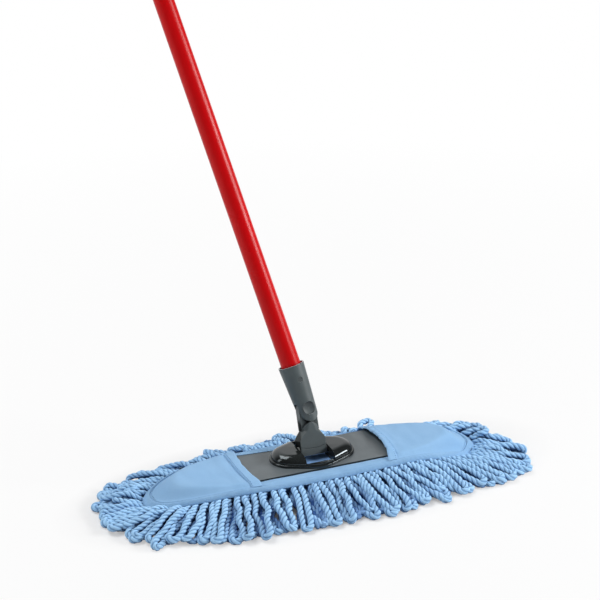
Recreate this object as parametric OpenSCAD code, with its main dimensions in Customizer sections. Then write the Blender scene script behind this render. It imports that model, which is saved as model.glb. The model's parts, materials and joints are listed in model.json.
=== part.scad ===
// Dust mop: a looped mop pad slips over the ends of a flat plate, and a domed swivel on the plate
// carries the handle. Millimetres, X along the pad, Y to the back, Z up, with the origin on the
// floor under the middle of the pad.

/* [Handle] */
// Outside diameter of the handle tube
tube_d = 22.2; // [20:0.1:24]
// Wall of the handle tube
tube_wall = 0.35; // [0.3:0.05:1]
// Length of the handle tube
tube_l = 1200; // [900:10:1500]
// Lean of the knuckle towards the back at rest, in degrees
rest_tilt = 21; // [0:1:50]
// Lean of the handle towards the left at rest, in degrees
rest_swing = 11.7; // [0:0.1:45]

/* [Hanger cap] */
// Wall of the cap's sleeve
cap_wall = 1.6; // [1:0.1:3]
// Depth of the tube's seat in the cap
cap_depth = 42; // [25:1:70]
// Diameter of the hanging hole
eye_d = 10; // [6:0.5:14]
// Ring of plastic left around the hanging hole
eye_wall = 5; // [3:0.5:7]
// Thickness of the hanging tab, front to back
eye_t = 9; // [5:0.5:14]

/* [Snap button] */
// Diameter of the button's head
button_d = 5.6; // [4:0.1:7]
// Diameter of the button's guided foot
button_foot_d = 7; // [6.4:0.1:9]
// Length of the button's guided foot
button_foot_l = 3.4; // [2:0.1:5]
// Depth of the button's head below the socket's skin
button_sink = 0.5; // [0.2:0.1:1]
// Distance of the button below the socket's rim
button_drop = 16.5; // [12:0.5:20]
// Length of the spring behind the button
spring_l = 9.5; // [7:0.5:11]
// Outside diameter of the spring
spring_d = 5.8; // [4.5:0.1:6.2]
// Thickness of the spring's wire
spring_wire = 0.6; // [0.4:0.1:0.9]
// Length of the carrier that guides the button
carrier_l = 23; // [16:1:28]

/* [Socket] */
// Outside diameter of the socket at its rim
rim_d = 29; // [27.5:0.1:33]
// Outside diameter of the socket at its prongs' ends
prong_d = 21.2; // [20:0.1:24]
// Height of the rim above the swing pin
socket_rise = 50; // [44:1:60]
// Depth of the tube's seat below the rim
seat_depth = 32.5; // [28:0.5:34]
// Inside diameter of the flared mouth
mouth_d = 26.4; // [24:0.1:27]
// Depth of the flared mouth
mouth_depth = 7; // [3:0.5:9]
// Length of the prongs' narrowing ends below the swing pin
lobe_r = 15; // [13:0.5:17]
// Swing to each side that the slot between the prongs leaves room for, in degrees
slot_reach = 72; // [70:1:80]
// Diameter of the dish over the swing pin
dish_d = 14.4; // [11:0.1:16]
// Depth of the dish's floor below the prong's skin
dish_depth = 3.4; // [2.6:0.1:3.6]
// Thickness of the swing pin's head at its edge
head_t = 1.6; // [1.2:0.1:2]
// Hollow in the middle of the swing pin's head
head_hollow = 0.9; // [0.3:0.1:1.1]

/* [Knuckle] */
// Diameter of the swing pin
pin_d = 6; // [4:0.5:7]
// Height of the swing pin above the tilt axle
pin_rise = 47; // [45:1:58]
// Thickness of the tongue between the prongs
tongue_t = 10; // [7:0.5:11]
// Radius of the tongue's round top
tongue_r = 10.2; // [8:0.1:10.4]
// Diameter of the round neck
neck_d = 21.4; // [20:0.1:22]
// Width of the block on the tilt axle
block_w = 30; // [26:0.5:32]
// Thickness of the block at the tilt axle
block_t = 14; // [12:0.5:14]
// Depth of the block below the tilt axle
block_drop = 5.5; // [4:0.5:5.5]
// Height above the tilt axle where the block begins to narrow
flare_low = 11.5; // [9:0.5:14]
// Height above the tilt axle where the neck is fully round
flare_high = 22; // [19:0.5:25]
// Fullness of the raised faces, from 1 for straight sides to 2 for an ellipse
face_full = 1.5; // [1.2:0.1:2]
// Height of the curved groove's lowest point above the tilt axle
groove_rise = 2; // [0:0.5:4]
// Sag of the curved groove across the block's face
groove_sag = 2.8; // [1.5:0.1:4]
// Width of the curved groove
groove_w = 0.5; // [0.3:0.1:1]
// Depth of the curved groove
groove_depth = 0.45; // [0.3:0.05:0.8]

/* [Dome] */
// Length of the dome's flange
dome_l = 98; // [92:1:106]
// Width of the dome's flange
dome_w = 67; // [62:1:72]
// Radius of the dome's ends
dome_end_r = 23; // [20:0.5:27]
// Height of the dome above the plate
dome_h = 11.5; // [11.5:0.5:15]
// Wall of the dome
dome_wall = 1.5; // [1.2:0.1:1.6]
// Height of the dome's flange
flange_h = 3; // [2:0.5:4]
// Step from the flange's edge to the dome's side
flange_step = 2; // [1:0.5:3]
// Width of the dome's round shoulder, seen from above
shoulder_w = 11; // [8:0.5:12]
// Gap between the block and each cheek of the slot
cheek_gap = 2; // [1.5:0.1:3]
// Wall of the slot's cheeks
cheek_t = 2.5; // [1.5:0.5:4]
// Thickness of the low bars that close the slot's ends
bar_t = 6; // [4:0.5:8]
// Height of the low bars above the plate
bar_h = 5.5; // [3:0.5:6]

/* [Axle] */
// Diameter of the tilt axle
axle_d = 5; // [4:0.5:5]
// Length of the tilt axle
axle_l = 66; // [58:1:70]
// Height of the tilt axle above the plate
axle_rise = 7; // [7:0.5:8]
// Diameter of the washers beside the block
washer_d = 10; // [8:0.5:11]
// Width of the saddles under the axle, front to back
saddle_w = 12; // [9:0.5:14]
// Wall at the outer end of each saddle
saddle_wall = 2.4; // [1.5:0.1:3]
// Rise of that wall above the axle's middle
saddle_lip = 1; // [0:0.5:1.5]

/* [Screws] */
// Diameter of the dome's screws
screw_d = 3; // [2.5:0.1:3.5]
// Length of the dome's screws
screw_l = 8.5; // [7:0.5:9.5]
// Diameter of the screws' heads
screw_head_d = 6; // [5:0.1:6.5]
// Height of the screws' heads
screw_head_h = 1.6; // [1.2:0.1:1.8]
// Diameter of the bosses that take the screws
boss_d = 8; // [6.5:0.5:9]
// Distance between the screws along the pad
screw_gap_x = 60; // [56:1:64]
// Distance between the screws across the pad
screw_gap_y = 30; // [28:1:32]

/* [Plate] */
// Length of the plate
plate_l = 282; // [260:1:290]
// Width of the plate
plate_w = 67; // [64:1:72]
// Thickness of the plate
plate_t = 2; // [1.9:0.1:3]
// Height of the plate's top above the floor
plate_top = 31; // [28:0.5:36]

/* [Mop pad] */
// Length of the sewn cloth
pad_l = 394; // [370:2:420]
// Width of the sewn cloth
pad_w = 102; // [96:1:110]
// Squareness of the cloth's outline, 2 for an ellipse
pad_square = 2.4; // [2:0.1:3]
// Drop of the cloth at its ends
end_droop = 16; // [8:1:18]
// Distance from the middle where the cloth starts to drop
droop_start = 80; // [70:1:100]
// Thickness of the backing cloth
cloth_t = 1.6; // [1:0.1:2.5]
// Thickness of the pockets' cloth
pocket_t = 1.2; // [0.8:0.1:1.6]
// Distance between the pockets' mouths
pocket_gap = 148; // [130:1:160]
// Width of the pockets' hems
hem_w = 11; // [8:0.5:15]
// Thickness of the pockets' hems
hem_t = 1; // [0.6:0.1:1.5]
// Width of the binding round the edge
binding_w = 10; // [7:0.5:12]
// Thickness that the binding adds above and below the cloth
binding_t = 1; // [0.6:0.1:1.5]
// Distance of the nap's edge inside the cloth's edge
nap_inset = 6; // [4:0.5:10]

/* [Fringe] */
// Reach of the loops past the cloth along the front
front_reach = 51; // [40:1:60]
// Reach of the loops past the cloth along the back
back_reach = 47; // [40:1:60]
// Reach of the loops past the cloth at the ends
end_reach = 58; // [45:1:70]
// Distance between loops along the cloth's edge
loop_pitch = 8.2; // [7.5:0.1:12]
// Width of a loop
loop_w = 6.4; // [5:0.1:7]
// Thickness of a loop at its tip
tip_t = 7; // [5:0.5:9]
// Depth of the layered loops where they are sewn on
root_t = 12; // [9:0.5:14]
// Thickness of the tape that the loops are sewn to
tape_t = 2; // [1.5:0.1:3]
// Half-length of the stretch covered by the front and back fringe
side_half = 140; // [120:1:160]

/* [Hidden] */

// Clearances: a fixed seat, a turning or sliding fit, faces that pass each other, and resting cloth
seat_gap = 0.02;
run_gap = 0.05;
pass_gap = 0.15;
cloth_gap = 0.3;
// Extra depth that lets a cut break cleanly through a surface
over = 1;
round_fn = 96;
soft_fn = 32;

red_paint = [0.72, 0.07, 0.08];
grey_plastic = [0.27, 0.29, 0.30];
dome_plastic = [0.20, 0.21, 0.21];
plate_grey = [0.42, 0.42, 0.41];
steel = [0.70, 0.71, 0.72];
pale_nylon = [0.85, 0.85, 0.82];
blue_cloth = [0.45, 0.64, 0.88];
blue_yarn = [0.50, 0.69, 0.93];

// Places that several pieces share
axle_z = plate_top + axle_rise;
seat_z = socket_rise - seat_depth;
button_z = socket_rise - button_drop;
tube_r = tube_d / 2;
tube_inner_r = tube_r - tube_wall;
prong_r = prong_d / 2;
rim_r = rim_d / 2;
function socket_r(z) = prong_r + (rim_r - prong_r) * (z + lobe_r) / (socket_rise + lobe_r);
dish_floor = socket_r(0) - dish_depth;
slot_half = block_w / 2 + cheek_gap;
plate_under = plate_top - plate_t;
cloth_top = plate_under - cloth_gap;
nap_top = cloth_top - cloth_t - cloth_gap;
pocket_top = plate_top + cloth_gap + pocket_t;
half_l = pad_l / 2;
half_w = pad_w / 2;

// The knuckle's frame at rest, with the tilt axle through its origin
module at_axle() {
    translate([0, 0, axle_z])
        rotate([-rest_tilt, 0, 0])
            children();
}

// The socket's frame at rest, with the swing pin through its origin
module at_pin() {
    at_axle()
        translate([0, 0, pin_rise])
            rotate([0, -rest_swing, 0])
                children();
}

// A round bar along X or along Y, centred on the origin
module bar_x(d, l) {
    rotate([0, 90, 0])
        cylinder(d = d, h = l, center = true, $fn = round_fn);
}

module bar_y(d, l) {
    rotate([90, 0, 0])
        cylinder(d = d, h = l, center = true, $fn = round_fn);
}

// Handle

cap_r = tube_r + cap_wall;
cap_floor = seat_z + tube_l;
eye_r = eye_d / 2 + eye_wall;
eye_rise = cap_wall + eye_r;

module hanger_cap() {
    color(grey_plastic)
        at_pin()
            translate([0, 0, cap_floor])
                difference() {
                    union() {
                        translate([0, 0, -cap_depth])
                            cylinder(r = cap_r, h = cap_depth + cap_wall, $fn = round_fn);
                        intersection() {
                            translate([0, 0, cap_wall])
                                sphere(r = cap_r, $fn = round_fn);
                            translate([-cap_r, -eye_t / 2, 0])
                                cube([2 * cap_r, eye_t, 2 * cap_r]);
                        }
                        translate([0, 0, eye_rise])
                            bar_y(2 * eye_r, eye_t);
                    }
                    translate([0, 0, -cap_depth - over])
                        cylinder(r = tube_r + run_gap, h = cap_depth + over, $fn = round_fn);
                    translate([0, 0, eye_rise])
                        bar_y(eye_d, eye_t + 2 * over);
                }
}

module handle_tube() {
    color(red_paint)
        at_pin()
            difference() {
                translate([0, 0, seat_z])
                    cylinder(r = tube_r, h = tube_l, $fn = round_fn);
                translate([0, 0, seat_z - over])
                    cylinder(r = tube_inner_r, h = tube_l + 2 * over, $fn = round_fn);
                translate([0, -tube_r, button_z])
                    bar_y(button_d + 2 * pass_gap, tube_r);
            }
}

// Snap button: its foot stops against the tube's inside, and its head passes the tube and the socket

foot_face = sqrt(pow(tube_inner_r, 2) - pow(button_foot_d / 2, 2)) - run_gap;
foot_back = foot_face - button_foot_l;
spring_seat = foot_back - spring_l;
head_tip = socket_r(button_z) - button_sink;

module at_button(distance) {
    translate([0, -distance, button_z])
        rotate([90, 0, 0])
            children();
}

module button_carrier() {
    color(pale_nylon)
        at_pin()
            difference() {
                translate([0, 0, button_z - carrier_l / 2])
                    cylinder(r = tube_inner_r - seat_gap, h = carrier_l, $fn = round_fn);
                at_button(spring_seat)
                    cylinder(d = button_foot_d + 2 * run_gap, h = tube_r - spring_seat, $fn = round_fn);
            }
}

module button_spring() {
    color(steel)
        at_pin()
            at_button(spring_seat)
                difference() {
                    cylinder(d = spring_d, h = spring_l, $fn = round_fn);
                    translate([0, 0, -over])
                        cylinder(d = spring_d - 2 * spring_wire, h = spring_l + 2 * over, $fn = round_fn);
                }
}

module snap_button() {
    color(steel)
        at_pin() {
            at_button(foot_back)
                cylinder(d = button_foot_d, h = button_foot_l, $fn = round_fn);
            at_button(foot_back)
                cylinder(d = button_d, h = head_tip - foot_back, $fn = round_fn);
        }
}

// Socket with two prongs, and the pin that the socket swings on

tongue_room = tongue_t + 2 * pass_gap;
slot_r = tongue_r + 2 * pass_gap;
// Degrees between the points of a curved outline
curve_step = 7.5;

// The socket seen from the front: its prongs narrow below the swing pin
module socket_outline() {
    polygon(concat([[rim_d, 0], [rim_d, socket_rise + over], [-rim_d, socket_rise + over], [-rim_d, 0]],
        [for (a = [180:curve_step:360]) [socket_r(0) * cos(a), lobe_r * sin(a)]]));
}

// The room that the tongue needs between the prongs as the socket swings to both sides
module slot_outline() {
    hull()
        for (turn = [-slot_reach, 0, slot_reach])
            rotate(turn) {
                circle(r = slot_r, $fn = round_fn);
                translate([-slot_r, -rim_d])
                    square([2 * slot_r, rim_d]);
            }
}

module handle_socket() {
    color(grey_plastic)
        at_pin()
            difference() {
                intersection() {
                    translate([0, 0, -lobe_r - over])
                        cylinder(r1 = socket_r(-lobe_r - over), r2 = rim_r, h = socket_rise + lobe_r + over,
                            $fn = round_fn);
                    rotate([90, 0, 0])
                        linear_extrude(2 * rim_d, center = true)
                            socket_outline();
                }
                rotate([90, 0, 0])
                    linear_extrude(tongue_room, center = true)
                        slot_outline();
                translate([0, 0, seat_z])
                    cylinder(r = tube_r + run_gap, h = seat_depth + over, $fn = round_fn);
                translate([0, 0, socket_rise - mouth_depth])
                    cylinder(r1 = tube_r + run_gap, r2 = mouth_d / 2, h = mouth_depth, $fn = round_fn);
                bar_y(pin_d + 2 * seat_gap, 2 * rim_d);
                for (side = [-1, 1])
                    translate([0, side * (dish_floor + rim_r / 2), 0])
                        bar_y(dish_d, rim_r);
                translate([0, -rim_r, button_z])
                    bar_y(button_d + 2 * pass_gap, rim_r);
            }
}

head_r = dish_d / 2 - pass_gap;
hollow_r = (pow(head_r, 2) + pow(head_hollow, 2)) / (2 * head_hollow);

// A round head with a hollowed face, seated on a dish's floor and facing the front
module pin_head() {
    translate([0, -dish_floor, 0])
        rotate([90, 0, 0])
            difference() {
                cylinder(r = head_r, h = head_t, $fn = round_fn);
                translate([0, 0, head_t + hollow_r - head_hollow])
                    sphere(r = hollow_r, $fn = round_fn);
            }
}

// The pin's far end stops short of the cap's hollowed face
pin_reach = dish_floor + (head_t - head_hollow) / 2;

module swing_pin() {
    color(grey_plastic)
        at_pin() {
            pin_head();
            translate([0, (pin_reach - dish_floor) / 2, 0])
                bar_y(pin_d, pin_reach + dish_floor);
        }
}

module pin_cap() {
    color(grey_plastic)
        at_pin()
            difference() {
                mirror([0, 1, 0])
                    pin_head();
                bar_y(pin_d + 2 * seat_gap, 2 * pin_reach + 2 * seat_gap);
            }
}

// Knuckle: a block on the tilt axle that narrows to a round neck with a tongue on top

face_lean = atan((neck_d / 2 - block_t / 2) / (pin_rise - lobe_r - over));
shoulder_r = lobe_r + 2 * pass_gap;
groove_r = (pow(block_w / 2, 2) + pow(groove_sag, 2)) / (2 * groove_sag);

// Everything in front of the block's leaning face, out to a given depth
module before_face(depth) {
    translate([0, -block_t / 2, 0])
        rotate([face_lean, 0, 0])
            translate([-block_w, -depth, -2 * block_drop])
                cube([2 * block_w, depth, 2 * pin_rise]);
}

// A ring lying in the block's face, whose lowest stretch is the curved groove
module face_groove() {
    translate([0, -block_t / 2, 0])
        rotate([90 + face_lean, 0, 0])
            translate([0, groove_rise + groove_r, -groove_depth])
                difference() {
                    cylinder(r = groove_r + groove_w / 2, h = 2 * groove_depth, $fn = round_fn);
                    cylinder(r = groove_r - groove_w / 2, h = 2 * groove_depth, $fn = round_fn);
                }
}

// Everything beside the raised faces, which narrow from the block to a tip under the prongs' ends
module beside_faces() {
    face_rise = pin_rise - shoulder_r - flare_low;
    for (side = [-1, 1])
        difference() {
            translate([-block_w, side > 0 ? tongue_t / 2 : -neck_d, flare_low])
                cube([2 * block_w, neck_d - tongue_t / 2, pin_rise - flare_low]);
            rotate([90, 0, 0])
                linear_extrude(3 * neck_d, center = true)
                    polygon(concat([[-block_w / 2, flare_low - over], [block_w / 2, flare_low - over]],
                        [for (a = [0:curve_step:180]) [block_w / 2 * sign(cos(a)) * pow(abs(cos(a)), 2 / face_full),
                            flare_low + face_rise * pow(abs(sin(a)), 2 / face_full)]]));
        }
}

module knuckle() {
    color(grey_plastic)
        at_axle()
            difference() {
                union() {
                    difference() {
                        union() {
                            intersection() {
                                translate([-block_w / 2, -neck_d / 2, -block_drop])
                                    cube([block_w, neck_d, block_drop]);
                                bar_x(neck_d, 2 * block_w);
                            }
                            translate([-block_w / 2, -neck_d / 2, 0])
                                cube([block_w, neck_d, flare_low]);
                            hull() {
                                translate([-block_w / 2, -neck_d / 2, flare_low - seat_gap])
                                    cube([block_w, neck_d, seat_gap]);
                                translate([0, 0, flare_high])
                                    cylinder(d = neck_d, h = seat_gap, $fn = soft_fn);
                            }
                            translate([0, 0, flare_high])
                                cylinder(d = neck_d, h = pin_rise - flare_high, $fn = round_fn);
                        }
                        translate([0, 0, pin_rise])
                            bar_y(2 * shoulder_r, 2 * neck_d);
                        before_face(neck_d);
                        rotate([0, 0, 180])
                            before_face(neck_d);
                        beside_faces();
                    }
                    translate([0, 0, pin_rise])
                        bar_y(2 * tongue_r, tongue_t);
                    translate([-tongue_r, -tongue_t / 2, flare_high])
                        cube([2 * tongue_r, tongue_t, pin_rise - flare_high]);
                }
                bar_x(axle_d + 2 * run_gap, 2 * block_w);
                translate([0, 0, pin_rise])
                    bar_y(pin_d + 2 * run_gap, 2 * neck_d);
                face_groove();
                rotate([0, 0, 180])
                    face_groove();
            }
}

// Tilt axle, its washers and the saddles that hold it up inside the dome

module tilt_axle() {
    color(steel)
        translate([0, 0, axle_z])
            bar_x(axle_d, axle_l);
}

washer_t = cheek_gap - 2 * pass_gap;

module tilt_washers() {
    color(pale_nylon)
        for (side = [-1, 1])
            translate([side * (block_w / 2 + cheek_gap / 2), 0, axle_z])
                difference() {
                    bar_x(washer_d, washer_t);
                    bar_x(axle_d + 2 * run_gap, washer_t + 2 * over);
                }
}

saddle_x = slot_half + cheek_t + pass_gap;
saddle_end = axle_l / 2 + seat_gap + saddle_wall;

module saddle(side) {
    color(dome_plastic)
        mirror([side < 0 ? 1 : 0, 0, 0])
            difference() {
                union() {
                    translate([saddle_x, -saddle_w / 2, plate_top])
                        cube([saddle_end - saddle_x, saddle_w, axle_rise]);
                    translate([saddle_end - saddle_wall, -saddle_w / 2, plate_top])
                        cube([saddle_wall, saddle_w, axle_rise + saddle_lip]);
                }
                translate([0, 0, axle_z])
                    bar_x(axle_d + 2 * seat_gap, axle_l + 2 * seat_gap);
            }
}

module left_saddle() {
    saddle(-1);
}

module right_saddle() {
    saddle(1);
}

// Dome cover

// Degrees between the points of the shoulder's curve
shoulder_step = 15;

// Solid oval whose round shoulder starts at a given height, inset from the flange's edge
module oval_dome(inset, low, high) {
    end_x = dome_l / 2 - dome_end_r;
    hull()
        for (place = [[-end_x, dome_end_r], [0, dome_w / 2], [end_x, dome_end_r]])
            translate([place[0], 0, 0])
                rotate_extrude($fn = soft_fn * 2)
                    polygon(concat([[0, 0], [place[1] - inset, 0]],
                        [for (a = [0:shoulder_step:90]) [place[1] - inset - shoulder_w * (1 - cos(a)),
                            low + (high - low) * sin(a)]],
                        [[0, high]]));
}

// Flat oval for the flange
module oval_flange() {
    end_x = dome_l / 2 - dome_end_r;
    hull()
        for (place = [[-end_x, dome_end_r], [0, dome_w / 2], [end_x, dome_end_r]])
            translate([place[0], 0, 0])
                cylinder(r = place[1], h = flange_h, $fn = soft_fn * 2);
}

module at_screws() {
    for (x = [-1, 1], y = [-1, 1])
        translate([x * screw_gap_x / 2, y * screw_gap_y / 2, 0])
            children();
}

module dome_cover() {
    window_y = dome_w - 2 * bar_t;
    color(dome_plastic)
        translate([0, 0, plate_top])
            difference() {
                union() {
                    oval_flange();
                    oval_dome(flange_step, flange_h, dome_h);
                }
                difference() {
                    translate([0, 0, -seat_gap])
                        oval_dome(flange_step + dome_wall, flange_h, dome_h - dome_wall);
                    for (side = [-1, 1])
                        translate([side * (slot_half + cheek_t / 2) - cheek_t / 2, -dome_w / 2, -over])
                            cube([cheek_t, dome_w, dome_h]);
                    for (side = [-1, 1])
                        translate([-slot_half, side * (dome_w / 2 - bar_t / 2) - bar_t / 2, -over])
                            cube([2 * slot_half, bar_t, dome_h]);
                    translate([0, 0, -over])
                        at_screws()
                            cylinder(d = boss_d, h = dome_h, $fn = round_fn);
                }
                translate([-slot_half, -dome_w, bar_h])
                    cube([2 * slot_half, 2 * dome_w, dome_h]);
                translate([-slot_half, -window_y / 2, -over])
                    cube([2 * slot_half, window_y, dome_h]);
                translate([0, 0, axle_rise])
                    bar_x(axle_d + 2 * seat_gap, 2 * saddle_x);
                translate([-saddle_x, -axle_d / 2 - seat_gap, -over])
                    cube([2 * saddle_x, axle_d + 2 * seat_gap, axle_rise + over]);
                translate([0, 0, -over])
                    at_screws()
                        cylinder(d = screw_d + 2 * seat_gap, h = screw_l - plate_t + 2 * over,
                            $fn = round_fn);
            }
}

// Four countersunk screws, driven up through the plate into the dome's bosses
module dome_screws() {
    color(steel)
        translate([0, 0, plate_under])
            at_screws() {
                cylinder(d = screw_d, h = screw_l, $fn = round_fn);
                cylinder(d1 = screw_head_d, d2 = screw_d, h = screw_head_h, $fn = round_fn);
            }
}

// Plate with round ends, open under the knuckle
module frame_plate() {
    window_y = dome_w - 2 * bar_t;
    color(plate_grey)
        translate([0, 0, plate_under])
            difference() {
                linear_extrude(plate_t)
                    difference() {
                        union() {
                            square([plate_l - plate_w, plate_w], center = true);
                            for (side = [-1, 1])
                                translate([side * (plate_l - plate_w) / 2, 0])
                                    circle(d = plate_w, $fn = round_fn);
                        }
                        square([2 * slot_half, window_y], center = true);
                    }
                at_screws() {
                    translate([0, 0, -over])
                        cylinder(d = screw_d + 2 * pass_gap, h = plate_t + 2 * over, $fn = round_fn);
                    cylinder(d1 = screw_head_d + 2 * pass_gap, d2 = screw_d + 2 * pass_gap,
                        h = screw_head_h, $fn = round_fn);
                }
            }
}

// Mop pad

function droop(x) = end_droop * pow(max(0, abs(x) - droop_start) / (half_l - droop_start), 2);
function signed_power(c) = sign(c) * pow(abs(c), 2 / pad_square);
function edge_point(a, inset) = [(half_l - inset) * signed_power(cos(a)),
    (half_w - inset) * signed_power(sin(a))];
function width_at(x, inset) = (half_w - inset)
    * pow(max(0, 1 - pow(abs(x) / (half_l - inset), pad_square)), 1 / pad_square);

outline_step = 5;
droop_steps = 14;

// The cloth's outline, drawn in by an inset
module outline(inset) {
    polygon([for (a = [0:outline_step:360 - outline_step]) edge_point(a, inset)]);
}

// A layer that droops to both ends, between two heights above or below the cloth's top
module drooping_layer(low, high) {
    xs = [for (i = [-droop_steps:droop_steps]) i * half_l / droop_steps];
    rotate([90, 0, 0])
        linear_extrude(2 * pad_w, center = true)
            polygon(concat([for (x = xs) [x, low - droop(x)]],
                [for (i = [len(xs) - 1:-1:0]) [xs[i], high - droop(xs[i])]]));
}

module backing_cloth() {
    color(blue_cloth)
        intersection() {
            linear_extrude(plate_top)
                outline(binding_w + cloth_gap);
            drooping_layer(cloth_top - cloth_t, cloth_top);
        }
}

module edge_binding() {
    color(blue_cloth)
        intersection() {
            linear_extrude(2 * plate_top)
                difference() {
                    outline(0);
                    outline(binding_w);
                }
            drooping_layer(cloth_top - cloth_t - binding_t, cloth_top + binding_t);
        }
}

// The yarn under the cloth, with the flat sole that the mop stands on
module nap_pad() {
    xs = [for (i = [-droop_steps:droop_steps]) i * half_l / droop_steps];
    nap_lift = binding_t + cloth_gap;
    color(blue_yarn)
        intersection() {
            linear_extrude(plate_top)
                outline(nap_inset);
            rotate([90, 0, 0])
                linear_extrude(2 * pad_w, center = true)
                    polygon(concat([[half_l, 0], [-half_l, 0]],
                        [for (x = xs) [x, nap_top - nap_lift - droop(x)]]));
        }
}

// Pockets: cloth that lies over the plate and falls to the binding all round

// Distance that the cloth stays level past the plate's edge, and the least level share of its width
plate_ease = 1;
least_level = 0.3;
crown_power = 1.5;
pocket_inset = binding_w + cloth_gap;
pocket_end = half_l - pocket_inset - over;
mouth_x = pocket_gap / 2;
level_end = plate_l / 2 + plate_ease;
level_r = plate_w / 2 + plate_ease;
level_steps = 8;
slope_steps = 5;
pocket_xs = concat([for (i = [0:level_steps]) mouth_x + (level_end - mouth_x) * i / level_steps],
    [for (i = [1:slope_steps]) level_end + (pocket_end - level_end) * i / slope_steps]);
hem_xs = [mouth_x - pass_gap, mouth_x + hem_w / 2, mouth_x + hem_w];

function pocket_edge(x) = cloth_top + cloth_gap + pocket_t - droop(x);
function crown(x) = x <= level_end ? pocket_top
    : pocket_top - (pocket_top - pocket_edge(pocket_end))
        * pow((x - level_end) / (pocket_end - level_end), crown_power);
function level_half(x) = max(least_level * width_at(x, pocket_inset),
    sqrt(max(0, pow(level_r, 2) - pow(max(0, x - level_end + level_r), 2))));
// Points across the pocket, counted from its middle: the level part first, then the slope to the edge
level_points = 2;
slope_points = 3;
function slope_share(j) = (abs(j) - level_points) / slope_points;
function pocket_point(x, j, lift) = let (level = level_half(x), edge = pocket_edge(x), v = slope_share(j))
    abs(j) <= level_points ? [x, level * j / level_points, crown(x) + lift]
    : [x, sign(j) * (level + (width_at(x, pocket_inset) - level) * v),
        edge + (crown(x) - edge) * (1 + cos(180 * v)) / 2 + lift];

// A cloth panel over the plate's end, as a closed solid between two heights above the pocket's skin
module pocket_panel(xs, low, high) {
    across = [-level_points - slope_points:level_points + slope_points];
    row = 2 * (level_points + slope_points) + 1;
    layer = len(xs) * row;
    skin = [for (lift = [low, high], x = xs, j = across) pocket_point(x, j, lift)];
    quads = concat(
        [for (i = [0:len(xs) - 2], j = [0:row - 2])
            [i * row + j, i * row + j + 1, (i + 1) * row + j + 1, (i + 1) * row + j]],
        [for (i = [0:len(xs) - 2], j = [0:row - 2])
            [layer + (i + 1) * row + j, layer + (i + 1) * row + j + 1, layer + i * row + j + 1,
                layer + i * row + j]],
        [for (j = [0:row - 2]) [j + 1, j, layer + j, layer + j + 1]],
        [for (j = [0:row - 2]) let (k = (len(xs) - 1) * row + j) [k, k + 1, layer + k + 1, layer + k]],
        [for (i = [0:len(xs) - 2]) [i * row, (i + 1) * row, layer + (i + 1) * row, layer + i * row]],
        [for (i = [0:len(xs) - 2]) let (k = i * row + row - 1)
            [k + row, k, layer + k, layer + k + row]]);
    polyhedron(skin, [for (q = quads, t = [[0, 2, 1], [0, 3, 2]]) [q[t[0]], q[t[1]], q[t[2]]]]);
}

module pocket(side) {
    color(blue_cloth)
        mirror([side < 0 ? 1 : 0, 0, 0])
            pocket_panel(pocket_xs, -pocket_t, 0);
}

module hem(side) {
    color(blue_cloth)
        mirror([side < 0 ? 1 : 0, 0, 0])
            pocket_panel(hem_xs, pass_gap, hem_t + pass_gap);
}

module left_pocket() {
    pocket(-1);
}

module right_pocket() {
    pocket(1);
}

module left_hem() {
    hem(-1);
}

module right_hem() {
    hem(1);
}

// Borders: the cloth strips that show in front of and behind the plate, between the pockets
module border(side) {
    color(blue_cloth)
        intersection() {
            translate([0, 0, cloth_top + pass_gap])
                linear_extrude(plate_t - pass_gap)
                    outline(binding_w + cloth_gap);
            translate([cloth_gap - mouth_x, side > 0 ? plate_w / 2 + cloth_gap : -half_w, 0])
                cube([2 * (mouth_x - cloth_gap), half_w - plate_w / 2 - cloth_gap, 2 * plate_top]);
        }
}

module front_border() {
    border(-1);
}

module back_border() {
    border(1);
}

// Fringe: loops sewn side by side to a tape along the cloth's edge, drooping to the floor

trace_step = 1;
trace = [for (a = [0:trace_step:360]) edge_point(a, -cloth_gap)];
trace_len = [for (i = 0, s = 0; i < len(trace); s = s + (i + 1 < len(trace)
    ? norm(trace[i + 1] - trace[i]) : 0), i = i + 1) s];
round_len = trace_len[len(trace_len) - 1];
loop_count = floor(round_len / loop_pitch);
// Share by which the reach varies, the turn of that change from loop to loop, and how late a loop bends
reach_spread = 0.03;
reach_turn = 137;
loop_bend = 1.7;

function place_on(s, i = 0) = i >= len(trace) - 2 || trace_len[i + 1] >= s
    ? trace[i] + (trace[i + 1] - trace[i]) * (s - trace_len[i]) / (trace_len[i + 1] - trace_len[i])
    : place_on(s, i + 1);
function wrap(s) = s < 0 ? s + round_len : s >= round_len ? s - round_len : s;
function edge_at(s) = place_on(wrap(s));
function outward(s) = let (d = edge_at(s + over) - edge_at(s - over)) [d[1], -d[0]] / norm(d);
function reach_at(p, i) = let (side = p[1] > 0 ? back_reach : front_reach)
    (side + (end_reach - side) * pow(abs(p[0]) / half_l, 2))
        * (1 - reach_spread + reach_spread * sin(i * reach_turn));
function root_high(p) = cloth_top - droop(p[0]) - binding_t;
function loop_high(p, v) = root_high(p) + (tip_t - root_high(p)) * pow(v, loop_bend);
function loop_low(p, v) = v == 1 ? 0 : max(0, loop_high(p, v) - root_t - (tip_t - root_t) * v);
loop_rings = [0.3, 0.6, 0.85, 1];
loop_widths = [1, 1, 0.95, 0.65];

// Four corners of a section: inside low, inside high, outside high, outside low
function tape_section(s) = let (p = edge_at(s), n = outward(s), q = p + n * tape_t)
    [[p[0], p[1], loop_low(p, 0)], [p[0], p[1], loop_high(p, 0)],
        [q[0], q[1], loop_high(p, 0)], [q[0], q[1], loop_low(p, 0)]];
// Middle of a loop's ring, at a share of its reach
function loop_middle(s, i, v) = let (p = edge_at(s))
    p + outward(s) * (tape_t + (reach_at(p, i) - tape_t) * v);
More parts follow.
